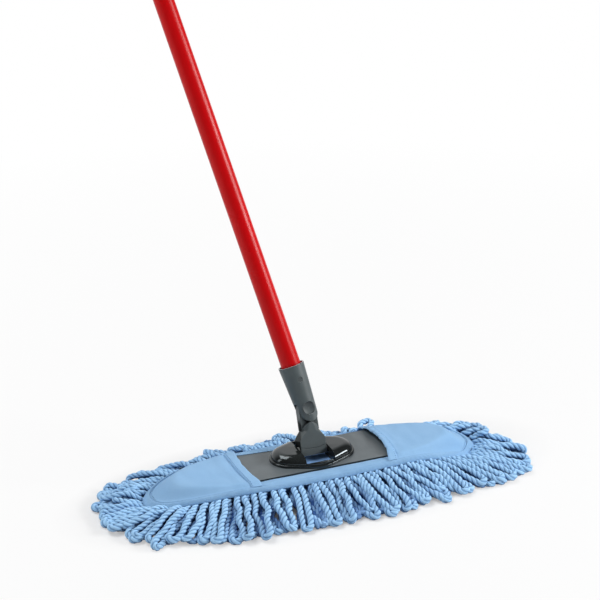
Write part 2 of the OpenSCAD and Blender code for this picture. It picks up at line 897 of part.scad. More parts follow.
// Four corners of a loop's ring: near low, near high, far high, far low
function loop_section(s, i, k) = let (p = edge_at(s), v = loop_rings[k], c = loop_middle(s, i, v),
        w = (loop_middle(s + loop_w / 2, i, v) - loop_middle(s - loop_w / 2, i, v)) * loop_widths[k] / 2,
        low = loop_low(p, v), high = loop_high(p, v))
    [[c[0] - w[0], c[1] - w[1], low], [c[0] - w[0], c[1] - w[1], high],
        [c[0] + w[0], c[1] + w[1], high], [c[0] + w[0], c[1] + w[1], low]];
function flat_list(rows) = [for (r = rows, x = r) x];
function on_side(p, part) = part == "front" ? abs(p[0]) <= side_half && p[1] < 0
    : part == "back" ? abs(p[0]) <= side_half && p[1] > 0
    : part == "left" ? p[0] < -side_half : p[0] > side_half;

module fringe(part) {
    // Half a turn of offset keeps the loops of the right end in one run
    start = part == "right" ? -floor(loop_count / 2) : 0;
    loops = [for (i = [start:start + loop_count - 1])
        if (on_side(edge_at((i + 0.5) * round_len / loop_count), part)) i];
    n = len(loops);
    m = len(loop_rings);
    mid = [for (i = loops) (i + 0.5) * round_len / loop_count];
    stations = flat_list([for (s = mid) [s - loop_w / 2, s + loop_w / 2]]);
    tape = flat_list([for (s = stations) tape_section(s)]);
    rings = flat_list([for (i = [0:n - 1], k = [0:m - 1]) loop_section(mid[i], loops[i], k)]);
    base = len(tape);
    tape_quads = flat_list([for (j = [0:2 * n - 2]) let (a = 4 * j, b = 4 * (j + 1)) concat(
        [[a, a + 1, b + 1, b], [a + 1, a + 2, b + 2, b + 1], [a + 3, a, b, b + 3]],
        j % 2 == 1 ? [[a + 2, a + 3, b + 3, b + 2]] : [])]);
    ends = [[0, 3, 2, 1], let (e = 4 * (2 * n - 1)) [e, e + 1, e + 2, e + 3]];
    loop_quads = flat_list([for (i = [0:n - 1]) let (
            root = [8 * i + 3, 8 * i + 2, 8 * i + 6, 8 * i + 7],
            chain = concat([root], [for (k = [0:m - 1]) [for (c = [0:3]) base + 4 * (i * m + k) + c]]))
        concat(
            [for (k = [0:m - 1], c = [0:3]) let (d = (c + 1) % 4)
                [chain[k][c], chain[k + 1][c], chain[k + 1][d], chain[k][d]]],
            [[for (c = [3:-1:0]) chain[m][c]]])]);
    quads = concat(tape_quads, ends, loop_quads);
    color(blue_yarn)
        polyhedron(concat(tape, rings),
            [for (q = quads, t = [[0, 2, 1], [0, 3, 2]]) [q[t[0]], q[t[1]], q[t[2]]]]);
}

module fringe_front() {
    fringe("front");
}

module fringe_back() {
    fringe("back");
}

module fringe_left() {
    fringe("left");
}

module fringe_right() {
    fringe("right");
}

hanger_cap();
handle_tube();
button_carrier();
button_spring();
snap_button();
handle_socket();
swing_pin();
pin_cap();
knuckle();
tilt_axle();
tilt_washers();
left_saddle();
right_saddle();
dome_cover();
dome_screws();
frame_plate();
backing_cloth();
left_pocket();
right_pocket();
left_hem();
right_hem();
front_border();
back_border();
edge_binding();
nap_pad();
fringe_front();
fringe_back();
fringe_left();
fringe_right();
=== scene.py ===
import json
import math

import bmesh
import bpy
import numpy as np
from mathutils import Matrix, Vector, noise

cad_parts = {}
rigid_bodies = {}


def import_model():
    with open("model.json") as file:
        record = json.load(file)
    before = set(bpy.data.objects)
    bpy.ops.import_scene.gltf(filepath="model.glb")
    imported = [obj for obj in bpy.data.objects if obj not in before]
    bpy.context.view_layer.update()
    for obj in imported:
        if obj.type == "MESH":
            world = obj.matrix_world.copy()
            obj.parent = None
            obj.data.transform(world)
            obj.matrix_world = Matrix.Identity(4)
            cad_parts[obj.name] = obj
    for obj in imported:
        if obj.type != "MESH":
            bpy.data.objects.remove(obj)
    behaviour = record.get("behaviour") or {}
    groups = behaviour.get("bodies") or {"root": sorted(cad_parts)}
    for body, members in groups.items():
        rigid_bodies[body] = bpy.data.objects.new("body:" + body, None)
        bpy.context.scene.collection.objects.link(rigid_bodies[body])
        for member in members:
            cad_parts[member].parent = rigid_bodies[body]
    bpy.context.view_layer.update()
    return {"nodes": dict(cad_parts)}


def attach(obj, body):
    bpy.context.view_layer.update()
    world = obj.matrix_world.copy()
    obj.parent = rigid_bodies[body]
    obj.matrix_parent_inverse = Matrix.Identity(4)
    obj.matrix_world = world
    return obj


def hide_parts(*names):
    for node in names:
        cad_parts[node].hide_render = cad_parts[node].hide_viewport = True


for leftover in list(bpy.data.objects):
    bpy.data.objects.remove(leftover)
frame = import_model()
node = frame["nodes"]
mm = 0.001


# Plate. A flat sheet-steel board with round ends that slip into the pad's pockets. It has a satin
# grey paint with a fine orange-peel surface, painted shade on its cut edge, and the dome is screwed to it.
def put(tree, kind, values=None, **settings):
    """A shader node with its settings, and a value or another node's socket for each named input."""
    made = tree.nodes.new("ShaderNode" + kind)
    for key, value in settings.items():
        setattr(made, key, value)
    for key, value in (values or {}).items():
        if isinstance(value, bpy.types.NodeSocket):
            tree.links.new(value, made.inputs[key])
        else:
            made.inputs[key].default_value = value
    return made


def remap(tree, value, before=(0, 1), after=(0, 1)):
    """A number that runs over one range while another number runs over its own, held at both ends."""
    ends = zip(("From Min", "From Max", "To Min", "To Max"), (*before, *after))
    return put(tree, "MapRange", {"Value": value, **dict(ends)}).outputs["Result"]


def blend_colour(tree, mask, low, high):
    """A colour between low and high, chosen by a mask."""
    low, high = ((*tone, 1) if isinstance(tone, tuple) else tone for tone in (low, high))
    return put(tree, "Mix", {0: mask, 6: low, 7: high}, data_type="RGBA").outputs[2]


def new_material(name, colour, roughness, plain=None):
    """A node material, with the values that are the same all over set on its shader."""
    material = bpy.data.materials.new(name)
    material.use_nodes = True
    shader = material.node_tree.nodes["Principled BSDF"]
    for key, value in {"Base Color": (*colour, 1), "Roughness": roughness, **(plain or {})}.items():
        shader.inputs[key].default_value = value
    return material, material.node_tree, shader


def raise_bumps(tree, shader, height, strength, distance):
    bump = put(tree, "Bump", {"Height": height, "Strength": strength, "Distance": distance})
    tree.links.new(bump.outputs["Normal"], shader.inputs["Normal"])
    return bump


def new_group(name, takes, gives):
    """A node group, with the sockets that its numbers come from and the sockets that its results go to."""
    group = bpy.data.node_groups.new(name, "ShaderNodeTree")
    for label, value in takes.items():
        group.interface.new_socket(label, in_out="INPUT", socket_type="NodeSocketFloat").default_value = value
    for label in gives:
        group.interface.new_socket(label, in_out="OUTPUT", socket_type="NodeSocketFloat")
    return group, group.nodes.new("NodeGroupInput").outputs, group.nodes.new("NodeGroupOutput").inputs


# Fine pebbled skin with faint rubbed patches, as on paint and moulded plastic
surface_grain, takes, gives = new_group("surface_grain", {"Grain": 1800, "Patches": 40}, ["Height", "Rubbed"])
spot = put(surface_grain, "TexCoord").outputs["Object"]
pebbles = put(surface_grain, "TexNoise",
              {"Vector": spot, "Scale": takes["Grain"], "Detail": 2, "Roughness": 0.6})
patches = put(surface_grain, "TexNoise",
              {"Vector": spot, "Scale": takes["Patches"], "Detail": 5, "Roughness": 0.62, "Distortion": 0.6})
surface_grain.links.new(pebbles.outputs["Fac"], gives["Height"])
surface_grain.links.new(remap(surface_grain, patches.outputs["Fac"], (0.35, 0.7)), gives["Rubbed"])


def grained(name, dark, light, grain, patches, smooth=0.42, rough=0.52, depth=0.02 * mm, rounding=0.0,
            plain=None):
    """Paint, plastic or metal: two close tones, two close roughnesses and a pebbled skin."""
    material, tree, shader = new_material(name, dark, rough, plain)
    skin = put(tree, "Group", {"Grain": grain, "Patches": patches}, node_tree=surface_grain)
    rubbed = skin.outputs["Rubbed"]
    tree.links.new(blend_colour(tree, rubbed, dark, light), shader.inputs["Base Color"])
    tree.links.new(remap(tree, rubbed, after=(rough, smooth)), shader.inputs["Roughness"])
    bump = raise_bumps(tree, shader, skin.outputs["Height"], 0.5, depth)
    if rounding:
        soft_edge = put(tree, "Bevel", {"Radius": rounding}, samples=6)
        tree.links.new(soft_edge.outputs["Normal"], bump.inputs["Normal"])
    return material


def recolour(material, mask, low=None, high=None):
    """Gives a material another tone where a mask is low, or where it is high."""
    tree = material.node_tree
    colour = tree.nodes["Principled BSDF"].inputs["Base Color"]
    face = colour.links[0].from_socket
    tree.links.new(blend_colour(tree, mask, low or face, high or face), colour)


# Where a surface faces up: a mask that rises between two shares of its normal
upward_face, takes, gives = new_group("upward_face", {"Start": 0.2, "Full": 0.6}, ["Mask"])
normal = put(upward_face, "NewGeometry").outputs["Normal"]
up_share = put(upward_face, "SeparateXYZ", {"Vector": normal}).outputs["Z"]
upward_face.links.new(remap(upward_face, up_share, (takes["Start"], takes["Full"])), gives["Mask"])


def upward(material, start, full):
    sense = {"Start": start, "Full": full}
    return put(material.node_tree, "Group", sense, node_tree=upward_face).outputs["Mask"]


def dress(material, *names):
    """Gives CAD nodes their material."""
    for name in names:
        node[name].data.materials.clear()
        node[name].data.materials.append(material)


plate_paint = grained("plate_paint", (0.092, 0.11, 0.12), (0.108, 0.128, 0.138), grain=2600, patches=26,
                      smooth=0.36, rough=0.46, depth=0.04 * mm, rounding=0.4 * mm)
# Painted shade: faces that do not turn up, the plate's cut edge among them, are painted near-black
recolour(plate_paint, upward(plate_paint, 0.2, 0.6), low=(0.012, 0.014, 0.015))
dress(plate_paint, "frame_plate")


# Axle, washers, saddles and screws. A plain steel rod lies across the dome's slot in two moulded
# saddles, with a nylon washer on each side of the knuckle. Four plated screws hold the dome.
bright_steel = grained("bright_steel", (0.46, 0.46, 0.47), (0.56, 0.56, 0.57), grain=900, patches=120,
                       smooth=0.24, rough=0.38, depth=0.01 * mm, plain={"Metallic": 1.0})
washer_nylon = grained("washer_nylon", (0.17, 0.175, 0.175), (0.21, 0.215, 0.215), grain=1500, patches=200,
                       smooth=0.45, rough=0.55)
saddle_plastic = grained("saddle_plastic", (0.016, 0.017, 0.017), (0.022, 0.023, 0.023), grain=1600,
                         patches=90, smooth=0.4, rough=0.5)
dress(bright_steel, "tilt_axle", "dome_screws")
dress(washer_nylon, "tilt_washers")
dress(saddle_plastic, "left_saddle", "right_saddle")


# Dome cover. A glossy near-black moulding: an oval flange, two hoods with round shoulders beside the
# knuckle's slot, and a low bar across each end of the slot. It is screwed down onto the plate.
plate_top = 31 * mm
dome_end_x, dome_end_r, dome_mid_r = 26 * mm, 23 * mm, 33.5 * mm
dome_high, dome_crown, hood_gap, shoulder_w = 11.5 * mm, 0.35 * mm, 0.2 * mm, 11 * mm
flange_high, flange_step = 3 * mm, 2 * mm
slot_half, bar_high, bar_thick = 17 * mm, 5.5 * mm, 6 * mm
hood_round, bar_top_round, bar_back_round, bar_end_round = 0.7 * mm, 0.5 * mm, 0.4 * mm, 0.2 * mm
oval_sides, shoulder_steps = 192, 18


def oval_ring(inset, z):
    """Points of the dome's oval, drawn in by an inset: the outline round three circles in a row."""
    circles = [(side * dome_end_x, dome_end_r - inset) for side in (-1, 1)] + [(0.0, dome_mid_r - inset)]
    ring = []
    for k in range(oval_sides):
        a = 2 * math.pi * (k + 0.5) / oval_sides
        x, r = max(circles, key=lambda circle: circle[0] * math.cos(a) + circle[1])
        ring.append((x + r * math.cos(a), r * math.sin(a), z))
    return ring


def add_rings(work, rings):
    return [[work.verts.new(p) for p in ring] for ring in rings]


def bridge(work, rings):
    """Faces that join each ring of vertices to the next one."""
    for low, high in zip(rings, rings[1:]):
        for k in range(len(low)):
            after = (k + 1) % len(low)
            work.faces.new((low[k], low[after], high[after], high[k]))


def loft(work, rings):
    """A closed solid through rings of vertices, from its first end to its last."""
    bridge(work, rings)
    work.faces.new(list(reversed(rings[0])))
    work.faces.new(rings[-1])


def slice_off(work, at, towards, soften):
    """Cuts away what lies past a plane and closes the cut, with a rounded edge."""
    whole = work.verts[:] + work.edges[:] + work.faces[:]
    cut = bmesh.ops.bisect_plane(work, geom=whole, plane_co=at, plane_no=towards, clear_outer=True)
    rim = [e for e in cut["geom_cut"] if isinstance(e, bmesh.types.BMEdge)]
    bmesh.ops.contextual_create(work, geom=rim)
    bmesh.ops.bevel(work, geom=rim, offset=soften, segments=3, profile=0.5, affect="EDGES",
                    clamp_overlap=True)
    bmesh.ops.dissolve_degenerate(work, dist=0.001 * mm, edges=work.edges[:])


def add_object(name, data):
    made = bpy.data.objects.new(name, data)
    bpy.context.scene.collection.objects.link(made)
    return made


def finish_mesh(work, name, material, smooth_angle=40):
    """An object from a working mesh, smooth apart from edges that turn by more than an angle."""
    bmesh.ops.recalc_face_normals(work, faces=work.faces[:])
    mesh = bpy.data.meshes.new(name)
    work.to_mesh(mesh)
    work.free()
    mesh.materials.append(material)
    mesh.shade_smooth()
    mesh.set_sharp_from_angle(angle=math.radians(smooth_angle))
    return add_object(name, mesh)


def hood_form():
    """The whole dome before it is cut: a wall, a round shoulder and a slightly crowned top."""
    rings = [oval_ring(flange_step, plate_top + hood_gap), oval_ring(flange_step, plate_top + flange_high)]
    for k in range(1, shoulder_steps + 1):
        a = math.radians(90 * k / shoulder_steps)
        rings.append(oval_ring(flange_step + shoulder_w * (1 - math.cos(a)),
                               plate_top + flange_high + (dome_high - flange_high) * math.sin(a)))
    shoulder_top = rings[-1]
    for share in (0.45, 0.8):
        rings.append([(x * (1 - share), y * (1 - share), z + dome_crown * share) for x, y, z in shoulder_top])
    work = bmesh.new()
    loft(work, add_rings(work, rings))
    return work


dome_gloss = grained("dome_gloss", (0.01, 0.0115, 0.0115), (0.014, 0.016, 0.016), grain=1400, patches=60,
                     smooth=0.1, rough=0.15, depth=0.006 * mm,
                     plain={"Specular IOR Level": 0.55, "Specular Tint": (0.84, 0.95, 1.0, 1)})
dome_parts = []
for side, label in ((-1, "left"), (1, "right")):
    work = hood_form()
    slice_off(work, (side * slot_half, 0, 0), (-side, 0, 0), hood_round)
    dome_parts.append(finish_mesh(work, "dome_hood_" + label, dome_gloss))
bar_end, split_x, split_w = slot_half + 0.3 * mm, 1.4 * mm, 0.7 * mm
bar_pieces = [("front_left", -1, -bar_end, split_x - split_w / 2),
              ("front_right", -1, split_x + split_w / 2, bar_end),
              ("back", 1, -bar_end, bar_end)]
for label, side, from_x, to_x in bar_pieces:
    work = hood_form()
    slice_off(work, (0, 0, plate_top + bar_high), (0, 0, 1), bar_top_round)
    slice_off(work, (0, side * (dome_mid_r - bar_thick), 0), (0, -side, 0), bar_back_round)
    slice_off(work, (to_x, 0, 0), (1, 0, 0), bar_end_round)
    slice_off(work, (from_x, 0, 0), (-1, 0, 0), bar_end_round)
    dome_parts.append(finish_mesh(work, "dome_bar_" + label, dome_gloss))
# The flange's section, round from its outer foot: how far in and how high, in mm
flange_section = [(0.0, 0.0), (0.0, 2.1), (0.12, 2.5), (0.4, 2.85), (0.9, 3.0), (4.0, 3.0), (6.5, 3.0),
                  (6.5, 0.0)]
work = bmesh.new()
rings = add_rings(work, [oval_ring(step * mm, plate_top + z * mm) for step, z in flange_section])
bridge(work, rings + rings[:1])
dome_parts.append(finish_mesh(work, "dome_flange", dome_gloss))
for piece in dome_parts:
    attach(piece, "base")
    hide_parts("dome_cover")


# Knuckle, socket, swing pin and cap. Dark grey satin mouldings: the knuckle tilts on the axle, the
# tapered socket swings on the pin through its tongue, and the pin's dished heads sit in the prongs.
def calculate(tree, operation, *values):
    return put(tree, "Math", dict(enumerate(values)), operation=operation).outputs[0]


# Masks of a piece's edges, to be painted lighter, and of its hollows, where shade is painted dark
edge_and_painted_shade, takes, gives = new_group("edge_and_painted_shade", {"Rounding": 0.7 * mm, "Reach": 12 * mm}, ["Edge", "Hollow"])
rounded = put(edge_and_painted_shade, "Bevel", {"Radius": takes["Rounding"]}, samples=6).outputs["Normal"]
normal = put(edge_and_painted_shade, "NewGeometry").outputs["Normal"]
agree = put(edge_and_painted_shade, "VectorMath", {0: rounded, 1: normal}, operation="DOT_PRODUCT")
around = put(edge_and_painted_shade, "AmbientOcclusion", {"Distance": takes["Reach"]}, samples=8)
edge_and_painted_shade.links.new(remap(edge_and_painted_shade, agree.outputs["Value"], (0.99, 0.8)), gives["Edge"])
edge_and_painted_shade.links.new(remap(edge_and_painted_shade, around.outputs["AO"], (0.8, 0.3)), gives["Hollow"])


def lighten_edges_paint_hollow_shade(material, rounding, reach, edge_tone, edge_share, painted_shade_tone=(0.006, 0.008, 0.009),
         painted_shade_share=0.95):
    """Paints a material lighter along its edges and paints shade into its hollows."""
    tree = material.node_tree
    edge_and_shade = put(tree, "Group", {"Rounding": rounding, "Reach": reach}, node_tree=edge_and_painted_shade)
    recolour(material, remap(tree, edge_and_shade.outputs["Edge"], after=(0, edge_share)), high=edge_tone)
    recolour(material, remap(tree, edge_and_shade.outputs["Hollow"], after=(0, painted_shade_share)), high=painted_shade_tone)


satin = {"grain": 2200, "patches": 45, "rounding": 0.7 * mm}
socket_grey = grained("socket_grey", (0.068, 0.087, 0.091), (0.082, 0.102, 0.106), **satin)
# Painted shade darkens the socket's hollows, and its edges are lightened
lighten_edges_paint_hollow_shade(socket_grey, rounding=0.7 * mm, reach=14 * mm, edge_tone=(0.26, 0.29, 0.3), edge_share=0.45)
# Painted highlight: faces that turn up, such as the lower wall of the button's hole, are painted light grey
recolour(socket_grey, upward(socket_grey, 0.7, 0.88), high=(0.62, 0.66, 0.66))
dress(socket_grey, "handle_socket")
dish_grey = grained("dish_grey", (0.072, 0.091, 0.095), (0.084, 0.104, 0.108), **satin)
# Painted shade: faces of the pin's heads that do not turn up, such as the dish's upper wall, are painted
# darker
recolour(dish_grey, upward(dish_grey, 0.1, 0.5), low=(0.018, 0.024, 0.028))
dress(dish_grey, "swing_pin", "pin_cap")

# Painted shade makes the cheeks of the knuckle's block, under its tongue, near-black, and they are duller
# than its face
knuckle_grey = grained("knuckle_grey", (0.066, 0.083, 0.087), (0.078, 0.097, 0.101), **satin)
tree = knuckle_grey.node_tree
normal = put(tree, "NewGeometry").outputs["Normal"]
facing = put(tree, "SeparateXYZ", {"Vector": normal})
height = put(tree, "SeparateXYZ", {"Vector": put(tree, "TexCoord").outputs["Generated"]})
sideways = remap(tree, calculate(tree, "ABSOLUTE", facing.outputs["X"]), (0.75, 0.95))
cheek_shade = calculate(tree, "MULTIPLY", sideways, remap(tree, height.outputs["Z"], (0.66, 0.58)))
recolour(knuckle_grey, cheek_shade, high=(0.008, 0.01, 0.011))
tree.links.new(remap(tree, cheek_shade, after=(0.5, 0.03)),
               tree.nodes["Principled BSDF"].inputs["Specular IOR Level"])
# Painted shade darkens the knuckle's hollows, and its edges are lightened
lighten_edges_paint_hollow_shade(knuckle_grey, rounding=0.7 * mm, reach=14 * mm, edge_tone=(0.2, 0.23, 0.24), edge_share=0.3)
dress(knuckle_grey, "knuckle")


# Handle tube. Thin steel tube with a thick glossy red paint over it, pushed into the socket and held
# there by the snap button. The paint is a little uneven, so its highlight wanders slightly.
red_paint = grained("red_paint", (0.56, 0.0015, 0.003), (0.61, 0.002, 0.004), grain=500, patches=18,
                    smooth=0.26, rough=0.33, depth=0.01 * mm, plain={"Specular IOR Level": 0.17})
dress(red_paint, "handle_tube")


# Snap button, its spring and its carrier. The steel button stands in the socket's small round hole,
# pushed out by a spring in a nylon plug inside the tube.
button_steel = grained("button_steel", (0.08, 0.095, 0.1), (0.1, 0.118, 0.122), grain=1200, patches=300,
                       smooth=0.3, rough=0.42, depth=0.01 * mm, rounding=0.4 * mm, plain={"Metallic": 0.3})
dress(button_steel, "snap_button")
dress(bright_steel, "button_spring")
dress(washer_nylon, "button_carrier")


# Hanger cap. A moulded grey cap pressed over the tube's top, with a flat tab and a hole to hang the
# mop by. It is out of the photograph.
cap_plastic = grained("cap_plastic", (0.055, 0.062, 0.065), (0.068, 0.075, 0.078), grain=2000, patches=60)
dress(cap_plastic, "hanger_cap")


# Backing cloth and nap. The pad's backing is a woven blue cloth that droops at both ends, and the
# looped yarn under it stands on the floor as one thick, soft layer.
half_l, half_w, squareness = 197 * mm, 51 * mm, 2.4
cloth_top, end_droop, droop_start = 28.7 * mm, 16 * mm, 80 * mm
back_droop, back_from, side_run = 4.5 * mm, 30 * mm, 18 * mm
corner_droop, corner_from, corner_run, front_from = 9 * mm, 100 * mm, 80 * mm, 8 * mm


def ease(v):
    """A smooth step from 0 to 1."""
    v = np.clip(v, 0, 1)
    return v * v * v * (v * (6 * v - 15) + 10)


def droop(x, y=0.0):
    """How far the cloth hangs down: at both ends, along its back edge and at its right front corner."""
    ends = end_droop * np.square(np.maximum(0, np.abs(x) - droop_start) / (half_l - droop_start))
    corner = np.clip((x - corner_from) / corner_run, 0, 1) ** 1.5 * ease((-y - front_from) / side_run)
    return ends + back_droop * ease((y - back_from) / side_run) + corner_droop * corner


def edge_xy(angle, end_inset, side_inset):
    """Points on the cloth's rounded outline, drawn in at its ends and at its sides."""
    c, s = np.cos(angle), np.sin(angle)
    power = 2 / squareness
    return np.stack([(half_l - end_inset) * np.sign(c) * np.abs(c) ** power,
                     (half_w - side_inset) * np.sign(s) * np.abs(s) ** power], -1)


def width_at(x, end_inset, side_inset):
    """Half the cloth's width at a place along it, drawn in at its ends and at its sides."""
    share = np.maximum(0, 1 - (np.abs(x) / (half_l - end_inset)) ** squareness)
    return (half_w - side_inset) * share ** (1 / squareness)


def with_height(xy, z):
    return np.concatenate([xy, z[..., None]], -1)


# Plain weave: crossing threads that go over and under each other, with a faint slub
cloth_weave, takes, gives = new_group("cloth_weave", {"Threads": 2200, "Slub": 60}, ["Height", "Slubs"])
spot = put(cloth_weave, "TexCoord").outputs["Object"]
thread = {"Vector": spot, "Scale": takes["Threads"], "Distortion": 0.6, "Detail": 1, "Detail Scale": 2}
waves = [put(cloth_weave, "TexWave", thread, wave_type="BANDS", bands_direction=way).outputs["Fac"]
         for way in ("X", "Y")]
slub = put(cloth_weave, "TexNoise",
           {"Vector": spot, "Scale": takes["Slub"], "Detail": 4, "Roughness": 0.55})
cloth_weave.links.new(calculate(cloth_weave, "MULTIPLY", *waves), gives["Height"])
cloth_weave.links.new(slub.outputs["Fac"], gives["Slubs"])


def woven(name, dark, light, threads, slub, depth):
    """Cloth: a plain weave in two close blues, with a soft sheen."""
    sheen = {"Sheen Weight": 0.12, "Sheen Roughness": 0.4, "Specular IOR Level": 0.25}
    material, tree, shader = new_material(name, light, 0.8, sheen)
    weave = put(tree, "Group", {"Threads": threads, "Slub": slub}, node_tree=cloth_weave)
    shade = remap(tree, weave.outputs["Slubs"], (0.3, 0.7))
    tree.links.new(blend_colour(tree, shade, dark, light), shader.inputs["Base Color"])
    raise_bumps(tree, shader, weave.outputs["Height"], 0.5, depth)
    return material


def grid_piece(name, top, bottom, material):
    """A closed cloth panel from two grids of points, upper and lower."""
    rows, columns = top.shape[:2]
    points = np.concatenate([top.reshape(-1, 3), bottom.reshape(-1, 3)])
    index = np.arange(rows * columns).reshape(rows, columns)
    quads = np.stack([index[:-1, :-1], index[1:, :-1], index[1:, 1:], index[:-1, 1:]], -1).reshape(-1, 4)
    under = quads[:, ::-1] + rows * columns
    rim = np.concatenate([index[0, :], index[1:, -1], index[-1, -2::-1], index[-2:0:-1, 0]])
    after = np.roll(rim, -1)
    wall = np.stack([rim, after, after + rows * columns, rim + rows * columns], -1)
    mesh = bpy.data.meshes.new(name)
    mesh.from_pydata(points.tolist(), [], np.concatenate([quads, under, wall]).tolist())
    work = bmesh.new()
    work.from_mesh(mesh)
    bpy.data.meshes.remove(mesh)
    return finish_mesh(work, name, material, 50)


def ripple(x, y, seed, size):
    """A smooth, repeatable unevenness between -1 and 1."""
    flat = np.stack([np.ravel(x) / size, np.ravel(y) / size], -1)
    values = [noise.noise((px, py, seed)) for px, py in flat]
    return np.reshape(values, np.shape(x))


backing_half, backing_sunk, backing_thick = 186 * mm, 0.2 * mm, 1.2 * mm
backing_inset = (10.4 * mm, 4.4 * mm)
backing_blue = woven("backing_blue", (0.2, 0.39, 0.73), (0.25, 0.45, 0.8), threads=1500, slub=50,
                     depth=0.1 * mm)
xs = np.linspace(-backing_half, backing_half, 110)
grid_x, grid_t = np.meshgrid(xs, np.linspace(-1, 1, 31), indexing="ij")
grid_y = grid_t * width_at(grid_x, *backing_inset)
top = np.stack([grid_x, grid_y, cloth_top - droop(grid_x, grid_y) - backing_sunk], -1)
backing = grid_piece("backing_cloth_sheet", top, top - (0, 0, backing_thick), backing_blue)
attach(backing, "base")
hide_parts("backing_cloth")

nap_inset, nap_under_cloth, sole_high, tuft_high, tuft_size = 7 * mm, 2.6 * mm, 0.9 * mm, 0.8 * mm, 5 * mm
# The nap's yarn is painted a darker blue than the fringe's, for the shade among the loops
nap_yarn = grained("nap_yarn", (0.09, 0.22, 0.5), (0.15, 0.31, 0.62), grain=420, patches=160, smooth=0.85,
                   rough=0.95, depth=0.8 * mm)
angles = np.linspace(0, 2 * math.pi, 241)[:-1]
grid_s, grid_a = np.meshgrid(np.linspace(0, 1, 26), angles, indexing="ij")
grid_xy = edge_xy(grid_a, nap_inset, nap_inset) * grid_s[..., None] ** 0.8
grid_x, grid_y = grid_xy[..., 0], grid_xy[..., 1]
tufts = np.where(grid_s > 0.97, 0.0, tuft_high * ripple(grid_x, grid_y, 3.1, tuft_size))
top = with_height(grid_xy, cloth_top - droop(grid_x, grid_y) - nap_under_cloth)
sole = with_height(grid_xy, sole_high + tufts)
work = bmesh.new()
upper, lower = add_rings(work, top[1:]), add_rings(work, sole[1:])
waist = [work.verts.new((p[0] * 1.005, p[1] * 1.02, (p[2] + q[2]) / 2)) for p, q in zip(top[-1], sole[-1])]
loft(work, upper + [waist] + lower[::-1])
nap = finish_mesh(work, "nap_yarn_layer", nap_yarn, 60)
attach(nap, "base")
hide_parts("nap_pad")


# Pockets and hems. Two smooth cloth pockets lie over the plate's ends and fall to the edge all round.
# Each mouth is folded back into a hem, drawn back at its middle, and a lockstitch holds the fold down.
plate_half_w, pocket_top, pocket_thick = 33.5 * mm, 32.6 * mm, 0.9 * mm
seam_end_inset, seam_side_inset, seam_high = 10.6 * mm, 3.4 * mm, 0.7 * mm
pocket_short, draw_half, gape_run = 0.7 * mm, 42 * mm, 17 * mm
pocket_end = half_l - seam_end_inset - pocket_short
crease_w, crease_deep = 1.1 * mm, 0.8 * mm
puff_at, puff_w, puff_high = 8 * mm, 6 * mm, 0.7 * mm
hem_thick, hem_rim, hem_short, hem_sunk = 1.15 * mm, 0.15 * mm, 0.3 * mm, 0.05 * mm
hem_past_mouth, hem_before_crease, hem_uneven = 0.6 * mm, 0.5 * mm, 0.8 * mm
left_side = {"name": "left", "hand": -1, "mouth": 76.5 * mm, "draw": 5 * mm, "hem": 13 * mm,
             "gape": 0.5 * mm, "seed": 11.0}
right_side = {"name": "right", "hand": 1, "mouth": 74.5 * mm, "draw": 7 * mm, "hem": 10.5 * mm,
              "gape": 5.5 * mm, "seed": 23.0}
pocket_blue = woven("pocket_blue", (0.25, 0.45, 0.7), (0.28, 0.485, 0.735), threads=2600, slub=34,
                    depth=0.05 * mm)
# Painted shade darkens the pockets' hollows, such as the crease by each hem, and their edges are lightened
lighten_edges_paint_hollow_shade(pocket_blue, rounding=0.4 * mm, reach=2.5 * mm, edge_tone=(0.32, 0.53, 0.77), edge_share=0.2,
     painted_shade_tone=(0.07, 0.16, 0.33), painted_shade_share=0.8)


def drawn_back(y):
    """1 at the middle of a pocket's mouth, falling to 0 at its ends."""
    return np.clip(1 - (y / draw_half) ** 2, 0, 1)


def mouth_line(pocket, y):
    return pocket["mouth"] + pocket["draw"] * drawn_back(y)


def hem_line(pocket, y):
    return mouth_line(pocket, y) + pocket["hem"] * (1 - 0.2 * drawn_back(y))


def bell(v, width):
    """1 at 0, falling away smoothly on both sides."""
    return np.exp(-(v / width) ** 2)


def pocket_height(pocket, x, y):
    """Height of the pocket's skin: level over the plate, falling to the binding, open at the mouth."""
    seed = pocket["seed"]
    edge = cloth_top + seam_high - droop(pocket["hand"] * x, y)
    out = ((x / (half_l - seam_end_inset)) ** squareness
           + (np.abs(y) / (half_w - seam_side_inset)) ** squareness) ** (1 / squareness)
    skin = pocket_top - (pocket_top - edge) * ease((out - 0.83) / 0.17)
    past_hem = x - hem_line(pocket, y)
    hem_step = puff_high * bell(past_hem - puff_at, puff_w) - crease_deep * bell(past_hem, crease_w)
    folds = ripple(x * 0.55, y, seed, 30 * mm) * 1.2 * mm + ripple(x, y * 0.5, seed + 5, 12 * mm) * 0.6 * mm
    puckers = ripple(x, y * 0.3, seed + 9, 6 * mm) * bell(out - 0.9, 0.06) * 0.5 * mm
    calm = np.clip((1 - out) * 5, 0, 1)
    wave = 0.75 + 0.3 * ripple(y, 0 * y, seed, 13 * mm) + 0.3 * ripple(y, 0 * y + 1, seed, 5 * mm)
    open_here = 1 - ease((x - mouth_line(pocket, y)) / gape_run)
    open_here *= 1 - ease((np.abs(y) / plate_half_w - 0.72) / 0.4)
    skin += calm * (hem_step + puckers + np.maximum(folds, -0.15 * mm))
    return skin + pocket["gape"] * wave * open_here


